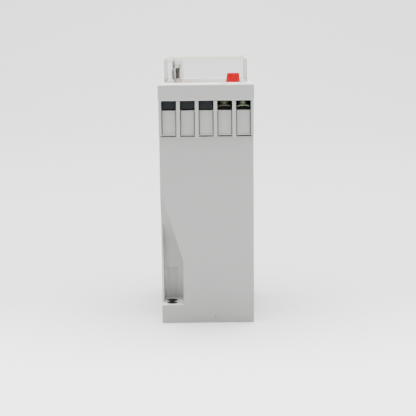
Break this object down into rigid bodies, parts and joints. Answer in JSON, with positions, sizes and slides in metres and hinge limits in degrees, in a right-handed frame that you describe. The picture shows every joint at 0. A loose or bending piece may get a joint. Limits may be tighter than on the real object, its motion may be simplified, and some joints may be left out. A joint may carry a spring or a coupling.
{
  "type": "din rail timer",
  "caption": "Slim adjustable time relay in a grey snap-together case, with a clear lift-off lid, a red dial pointer, screw terminals at both ends and a sliding latch for a mounting rail.",
  "frame": {"origin": "centre of the mounting face, in the plane that meets the panel", "axes": "+Z out of the panel towards the device's front, +Y along the device from the supply terminals to the contact terminals, +X across its 45 mm module width, with the lamps at -X"},
  "size_m": [0.045, 0.076, 0.1271],
  "materials": {
    "housing_grey": "fine moulded grain, satin",
    "panel_white": "satin, printed dial",
    "clear_plastic": "clear, slightly yellowed, polished",
    "signal_red": "semi-gloss red",
    "dark_plastic": "moulded, dark grey",
    "light_grey": "satin light grey",
    "led_green": "tinted translucent",
    "led_yellow": "tinted translucent",
    "brass": "plain, slightly dulled",
    "plated_steel": "yellow-green passivated zinc",
    "bright_steel": "bright zinc plated",
    "board_green": "green solder mask on glass fibre board",
    "iron": "varnished soft iron",
    "copper": null,
    "component_blue": "sleeved component",
    "component_ochre": "dipped component"
  },
  "bodies": {
    "housing": {"base_housing": "housing_grey", "front_cap": "housing_grey", "front_panel": "panel_white", "lock_socket": "brass", "pot_body": "bright_steel", "range_switch": "dark_plastic", "function_switch": "dark_plastic", "power_lamp": "led_green", "output_lamp": "led_yellow", "supply_terminal_block": "dark_plastic", "contact_terminal_block": "dark_plastic", "front_board": "board_green", "main_board": "board_green", "board_header": "dark_plastic", "transformer_core": "iron", "transformer_bobbin": "dark_plastic", "transformer_primary_winding": "copper", "transformer_secondary_winding": "copper", "relay_base": "dark_plastic", "relay_cover": "clear_plastic", "relay_bobbin": "dark_plastic", "relay_winding": "copper", "relay_yoke": "iron", "relay_contact_open": "brass", "relay_contact_closed": "brass", "filter_capacitor": "component_blue", "timing_capacitor": "component_ochre", "varistor": "component_blue", "timer_chip": "dark_plastic", "bridge_rectifier": "dark_plastic", "fuse_resistor": "component_ochre", "insulating_sheet": "light_grey", "latch_spring": "bright_steel", "supply_1_busbar": "brass", "supply_1_clamp_plate": "plated_steel", "supply_1_screw": "plated_steel", "supply_2_busbar": "brass", "supply_2_clamp_plate": "plated_steel", "supply_2_screw": "plated_steel", "contact_1_busbar": "brass", "contact_1_clamp_plate": "plated_steel", "contact_1_screw": "plated_steel", "contact_2_busbar": "brass", "contact_2_clamp_plate": "plated_steel", "contact_2_screw": "plated_steel", "contact_3_busbar": "brass", "contact_3_clamp_plate": "plated_steel", "contact_3_screw": "plated_steel"},
    "lid": {"clear_lid": "clear_plastic"},
    "lock_screw": {"lid_lock_screw": "bright_steel"},
    "pointer": {"time_pointer": "signal_red", "pot_shaft": "bright_steel"},
    "range_rotor": {"range_selector": "light_grey"},
    "function_rotor": {"function_selector": "light_grey"},
    "latch": {"rail_latch": "dark_plastic"},
    "armature": {"relay_armature": "iron", "relay_moving_contact": "brass"}
  },
  "joints": [
    {"name": "lid_lift", "type": "slide", "parent": "housing", "child": "lid", "axis": [0, 0, 1], "range_m": [0, 0.018]},
    {"name": "lock_turn", "type": "hinge", "parent": "lid", "child": "lock_screw", "pos_m": [-0.01385, -0.002, 0.1227], "axis": [0, 0, 1], "range_deg": [0, 90]},
    {"name": "time_setting", "type": "hinge", "parent": "housing", "child": "pointer", "pos_m": [0, 0, 0.1135], "axis": [0, 0, 1], "range_deg": [-107, 163]},
    {"name": "range_select", "type": "hinge", "parent": "housing", "child": "range_rotor", "pos_m": [0.01385, 0.0169, 0.112], "axis": [0, 0, 1], "range_deg": [0, 270]},
    {"name": "function_select", "type": "hinge", "parent": "housing", "child": "function_rotor", "pos_m": [0.01385, -0.0169, 0.112], "axis": [0, 0, 1], "range_deg": [-180, 90]},
    {"name": "latch_slide", "type": "slide", "parent": "housing", "child": "latch", "axis": [0, 1, 0], "range_m": [0, 0.0035], "stiffness_N_per_m": 400, "springref_m": -0.003, "deforming": ["latch_spring"]},
    {"name": "armature_pull", "type": "hinge", "parent": "housing", "child": "armature", "pos_m": [0.0154, -0.0071, 0.0468], "axis": [0, 0, 1], "range_deg": [0, 3], "stiffness_Nm_per_rad": 0.004, "springref_deg": -11.46}
  ]
}
